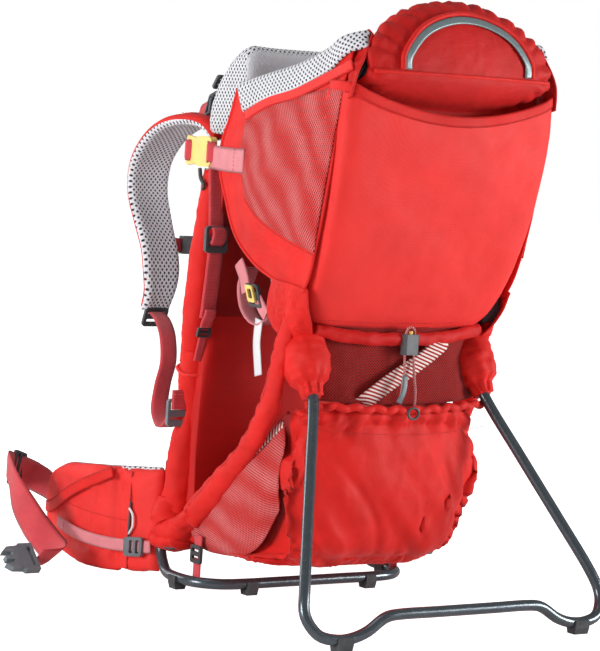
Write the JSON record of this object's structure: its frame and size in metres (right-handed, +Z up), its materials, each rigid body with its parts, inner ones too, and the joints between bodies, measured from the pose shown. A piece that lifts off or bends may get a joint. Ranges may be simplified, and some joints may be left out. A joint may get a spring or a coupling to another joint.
{
  "type": "framed child carrier backpack",
  "caption": "Backpack with a tubular frame and folding kickstand that carries a seated child in a fabric cockpit, with shoulder harness, hip belt and luggage bag.",
  "frame": {"origin": "on the floor below the middle of the carrier's bounding box, belt webbing left out", "axes": "+Z up, +Y the way the wearer faces, +X the wearer's right"},
  "size_m": [0.651, 0.7228, 0.7206],
  "materials": {
    "red_fabric": "plain-woven coated polyester, satin",
    "webbing": "woven nylon webbing, matt",
    "air_mesh": "three-layer air mesh with dark holes",
    "fleece": "brushed fleece, matt",
    "cord": "braided cord, matt",
    "tube": "slate grey paint over aluminium tube, glossy",
    "plastic": "moulded acetal, fine matt grain",
    "yellow_plastic": "moulded acetal, satin",
    "rubber": "moulded rubber, matt",
    "steel": "turned and brushed"
  },
  "bodies": {
    "frame": {"base_loop": "tube", "upright_left": "tube", "upright_right": "tube", "side_strut_left": "tube", "side_strut_right": "tube", "rear_arch": "tube", "corner_bracket_left": "plastic", "corner_bracket_right": "plastic", "hinge_bracket_left": "plastic", "hinge_bracket_right": "plastic", "hinge_pin_left": "steel", "hinge_pin_right": "steel", "base_foot_front_left": "rubber", "base_foot_front_right": "rubber", "base_foot_rear_left": "rubber", "base_foot_rear_right": "rubber", "back_panel": "red_fabric", "neck_pad": "air_mesh", "lumbar_pad": "air_mesh", "cockpit_side_left": "red_fabric", "cockpit_side_right": "red_fabric", "rear_panel": "red_fabric", "head_crown": "red_fabric", "lower_bag": "red_fabric", "cord_lock": "plastic", "drawcord": "cord", "side_buckle_left": "yellow_plastic", "side_buckle_right": "yellow_plastic", "back_length_lock_left": "plastic", "back_length_lock_right": "plastic", "strap_lock_left": "plastic", "strap_lock_right": "plastic"},
    "kickstand": {"kickstand_loop": "tube", "kickstand_foot_left": "rubber", "kickstand_foot_right": "rubber", "kickstand_sleeve_left": "red_fabric", "kickstand_sleeve_right": "red_fabric"},
    "cord_button": {"cord_lock_button": "yellow_plastic"},
    "seat": {"seat_pan": "fleece", "child_harness": "webbing", "harness_buckle": "plastic"},
    "harness_release": {"harness_button": "yellow_plastic"},
    "shoulder_harness": {"shoulder_yoke": "air_mesh", "shoulder_strap_left": "air_mesh", "shoulder_strap_right": "air_mesh"},
    "sternum_left": {"sternum_socket_left": "plastic"},
    "sternum_right": {"sternum_plug_right": "plastic"},
    "fin_left": {"hip_fin_left": "red_fabric", "belt_webbing_left": "webbing", "belt_plug_left": "plastic"},
    "fin_right": {"hip_fin_right": "red_fabric", "belt_webbing_right": "webbing", "belt_socket_right": "plastic"},
    "zip_left": {"zip_pull_left": "air_mesh"},
    "zip_right": {"zip_pull_right": "air_mesh"},
    "entry_left": {"side_plug_left": "yellow_plastic"},
    "entry_right": {"side_plug_right": "yellow_plastic"},
    "stirrup_left": {"stirrup_left": "webbing"},
    "stirrup_right": {"stirrup_right": "webbing"}
  },
  "joints": [
    {"name": "kickstand_fold", "type": "hinge", "parent": "frame", "child": "kickstand", "pos_m": [0, -0.128, 0.374], "axis": [1, 0, 0], "range_deg": [0, 26]},
    {"name": "cord_button_press", "type": "slide", "parent": "frame", "child": "cord_button", "axis": [0, 0, -1], "range_m": [0, 0.003], "stiffness_N_per_m": 300},
    {"name": "seat_height", "type": "slide", "parent": "frame", "child": "seat", "axis": [0, 0, 1], "range_m": [0, 0.05]},
    {"name": "harness_release_press", "type": "slide", "parent": "seat", "child": "harness_release", "axis": [0, -1, 0], "range_m": [0, 0.0025], "stiffness_N_per_m": 400},
    {"name": "back_length", "type": "slide", "parent": "frame", "child": "shoulder_harness", "axis": [0, -0.1095, 0.994], "range_m": [-0.07, 0]},
    {"name": "sternum_slide_left", "type": "slide", "parent": "shoulder_harness", "child": "sternum_left", "axis": [0, 0.4801, 0.8772], "range_m": [-0.025, 0.025]},
    {"name": "sternum_slide_right", "type": "slide", "parent": "shoulder_harness", "child": "sternum_right", "axis": [0, 0.4801, 0.8772], "range_m": [-0.025, 0.025]},
    {"name": "hip_fin_left", "type": "hinge", "parent": "frame", "child": "fin_left", "pos_m": [-0.147, 0.111, 0.07], "axis": [0, 0, 1], "range_deg": [-25, 35]},
    {"name": "hip_fin_right", "type": "hinge", "parent": "frame", "child": "fin_right", "pos_m": [0.147, 0.111, 0.07], "axis": [0, 0, -1], "range_deg": [-25, 35]},
    {"name": "zip_slide_left", "type": "slide", "parent": "fin_left", "child": "zip_left", "axis": [-0.3, 0.9539, 0], "range_m": [0, 0.05]},
    {"name": "zip_slide_right", "type": "slide", "parent": "fin_right", "child": "zip_right", "axis": [0.3, 0.9539, 0], "range_m": [0, 0.05]},
    {"name": "side_entry_left", "type": "slide", "parent": "frame", "child": "entry_left", "axis": [0, 1, 0], "range_m": [0, 0.02]},
    {"name": "side_entry_right", "type": "slide", "parent": "frame", "child": "entry_right", "axis": [0, 1, 0], "range_m": [0, 0.02]},
    {"name": "stirrup_swing_left", "type": "hinge", "parent": "frame", "child": "stirrup_left", "pos_m": [-0.118, -0.054, 0.398], "axis": [1, 0, 0], "range_deg": [-25, 25]},
    {"name": "stirrup_swing_right", "type": "hinge", "parent": "frame", "child": "stirrup_right", "pos_m": [0.118, -0.054, 0.398], "axis": [1, 0, 0], "range_deg": [-25, 25]}
  ]
}
